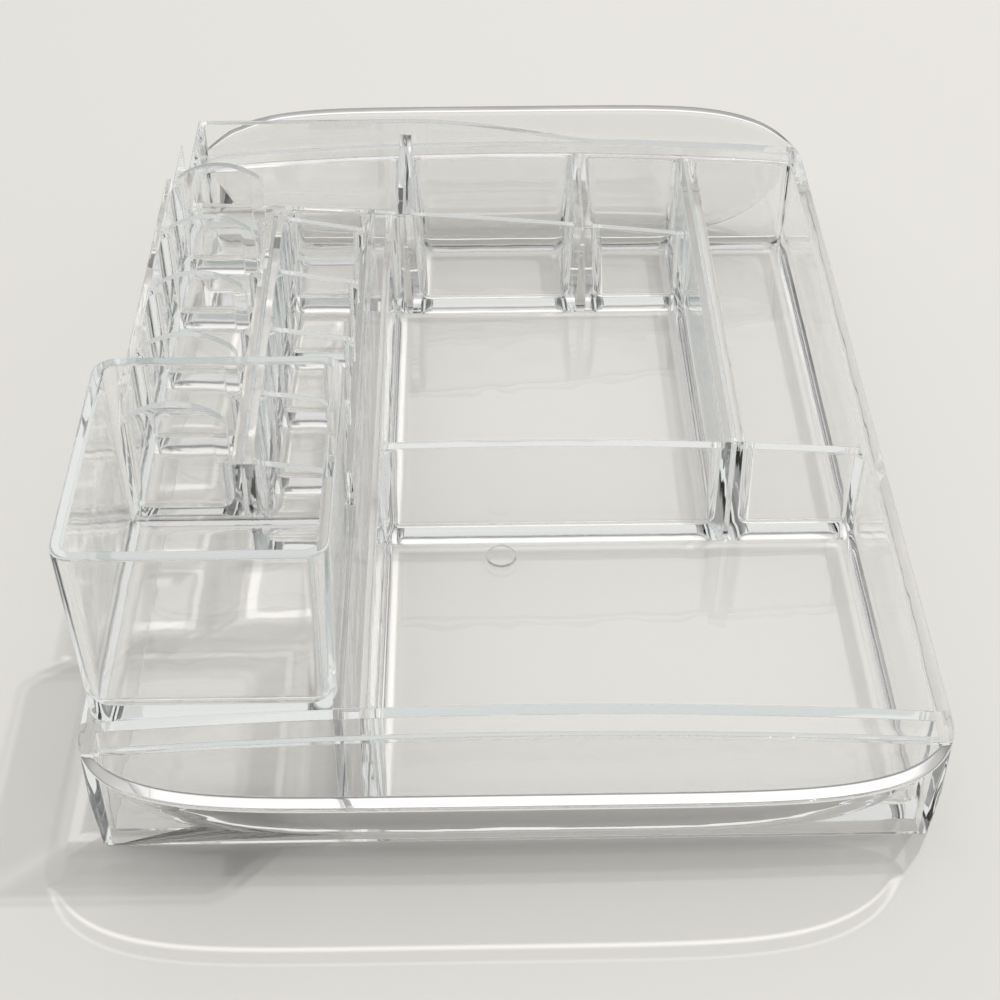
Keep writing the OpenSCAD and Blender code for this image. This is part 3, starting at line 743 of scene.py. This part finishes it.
# %% The finished moulding
moulding.data.materials.clear()
moulding.data.materials.append(plastic)
moulding.data.shade_smooth()
moulding.data.set_sharp_from_angle(angle=math.radians(35))
flats = moulding.modifiers.new("flat faces stay flat beside small rounds", "WEIGHTED_NORMAL")
flats.mode, flats.keep_sharp = "FACE_AREA", True
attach(moulding, "root")
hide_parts(*frame["nodes"])
print("moulding:", len(moulding.data.polygons), "faces")

# %% [markdown]
# ## Table
# A plain matt table in a warm pale grey. It reaches far enough for low views, and it lies a twentieth of
# a millimetre under the tray, so that the two faces are never in the same plane. Where a ray reaches it
# after it was lost inside the plastic, it shows a painted light instead: an even glow in a paler grey.

# %% Table
TABLE_HALF, TABLE_Z = 8000, -0.05
table_material, tree, out = new_material("pale table")
path = add(tree, "ShaderNodeLightPath")
matt = add(tree, "ShaderNodeBsdfDiffuse", Color=linear("#E5E4E1"))
# painted light: the table glows evenly where a ray that was lost inside the plastic ends
painted_table_glow = add(tree, "ShaderNodeEmission", Color=linear("#F2F3F1"), Strength=1.0)
lost = often_turned(tree, path)
surface = add(tree, "ShaderNodeMixShader", i0=lost, i1=matt.outputs[0], i2=painted_table_glow.outputs[0])
tree.links.new(surface.outputs[0], out.inputs["Surface"])
square = [(x * TABLE_HALF, y * TABLE_HALF, TABLE_Z) for x, y in ((-1, -1), (1, -1), (1, 1), (-1, 1))]
table = mesh_object("table", square, [(0, 1, 2, 3)])
table.data.materials.append(table_material)
print("table:", 2 * TABLE_HALF, "mm square")

# %% [markdown]
# ## Room
# Clear plastic shows the room it stands in. This one is dim low down and bright overhead, has a brighter
# pane high behind the tray for the rims to mirror, and is dark in front, behind the camera, which draws
# the darker lines. Walls and a ceiling could be built round the table, but smooth steps on the direction,
# of which X, Y and Z are shares of one, are easier to aim and cast no shadow.
#
# Where the camera looks past the table it sees a pale room, which adds no light to the tray.

# %% Room
world = bpy.data.worlds.new("room")
bpy.context.scene.world = world
world.use_nodes = True
tree = world.node_tree
way = add(tree, "ShaderNodeSeparateXYZ", i0=add(tree, "ShaderNodeTexCoord").outputs["Generated"])
across, along, up = (way.outputs[axis] for axis in "XYZ")
ceiling = add(tree, "ShaderNodeMapRange", SMOOTH, i0=up, i1=0.2, i2=0.85, i3=0.3, i4=0.8)
dark = add(tree, "ShaderNodeMapRange", SMOOTH, i0=along, i1=-0.85, i2=-0.6, i3=0.15, i4=1.0)
pale = add(tree, "ShaderNodeMath", TIMES, i0=ceiling.outputs[0], i1=dark.outputs[0])
print("room without its pane:", len(tree.nodes), "nodes")

# %% The room's bright pane
PANE = 0.5
behind = add(tree, "ShaderNodeMapRange", SMOOTH, i0=along, i1=0.35, i2=0.6, i3=0.0, i4=1.0)
over = add(tree, "ShaderNodeMapRange", SMOOTH, i0=up, i1=0.45, i2=0.6, i3=0.0, i4=1.0)
right = add(tree, "ShaderNodeMapRange", SMOOTH, i0=across, i1=0.35, i2=0.5, i3=PANE, i4=0.0)
left = add(tree, "ShaderNodeMapRange", SMOOTH, i0=across, i1=-0.35, i2=-0.2, i3=0.0, i4=1.0)
high = add(tree, "ShaderNodeMath", TIMES, i0=behind.outputs[0], i1=over.outputs[0])
wide = add(tree, "ShaderNodeMath", TIMES, i0=right.outputs[0], i1=left.outputs[0])
pane = add(tree, "ShaderNodeMath", TIMES, i0=high.outputs[0], i1=wide.outputs[0])
glow = add(tree, "ShaderNodeMath", PLUS, i0=pale.outputs[0], i1=pane.outputs[0])
sight = add(tree, "ShaderNodeLightPath").outputs["Is Camera Ray"]
ground = add(tree, "ShaderNodeMath", TIMES, i0=sight, i1=0.8)
strength = add(tree, "ShaderNodeMath", LARGER, i0=glow.outputs[0], i1=ground.outputs[0])
room = tree.nodes["Background"]
room.inputs["Color"].default_value = linear("#F6F5F3")
tree.links.new(strength.outputs[0], room.inputs["Strength"])
print("room:", len(tree.nodes), "nodes")


# %% [markdown]
# ## Lamp
# The shadow in the photo falls to the front and a little to the left. One small lamp far off, high
# behind the tray on its right, gives it that direction and its nearly sharp edge. A sun lamp could do the
# same, but it would light the whole table evenly, where the photo's table darkens a little to the front.

# %% Lamp
def area_light(name, place, aim, size, power, colour):
    """A square soft light at a place, turned to its aim."""
    data = bpy.data.lights.new(name, "AREA")
    data.shape, data.size, data.energy, data.color = "SQUARE", size * MM, power, linear(colour)[:3]
    lamp = bpy.data.objects.new(name, data)
    lamp.location = Vector(place) * MM
    lamp.rotation_euler = (Vector(aim) - Vector(place)).to_track_quat("-Z", "Y").to_euler()
    bpy.context.scene.collection.objects.link(lamp)
    return lamp


area_light("high lamp", (700, 570, 2500), (0, 0, 0), 55, 29.5, "#FFFDF8")
print("lamps:", len(bpy.data.lights))

# %% [markdown]
# ## Camera
# It stands where the photo was taken from: in front of the cup's end, some 0.6 metres off and looking
# 40 degrees down, turned and tilted by less than a degree.

# %% Camera
data = bpy.data.cameras.new("camera")
data.lens, data.sensor_width = 68.5, 36.0
camera = bpy.data.objects.new("camera", data)
pitch, yaw, roll = (math.radians(v) for v in (40.3, -0.84, 0.17))
turn = Matrix.Rotation(yaw, 3, "Z") @ Matrix.Rotation(math.pi / 2 - pitch, 3, "X")
turn = turn @ Matrix.Rotation(-roll, 3, "Z")
camera.matrix_world = Matrix.Translation(Vector((-8.5, -450.0, 376.0)) * MM) @ turn.to_4x4()
bpy.context.scene.collection.objects.link(camera)
bpy.context.scene.camera = camera
bpy.context.scene.view_settings.view_transform = "Standard"
print("camera:", [round(v / MM) for v in camera.matrix_world.translation], "mm")
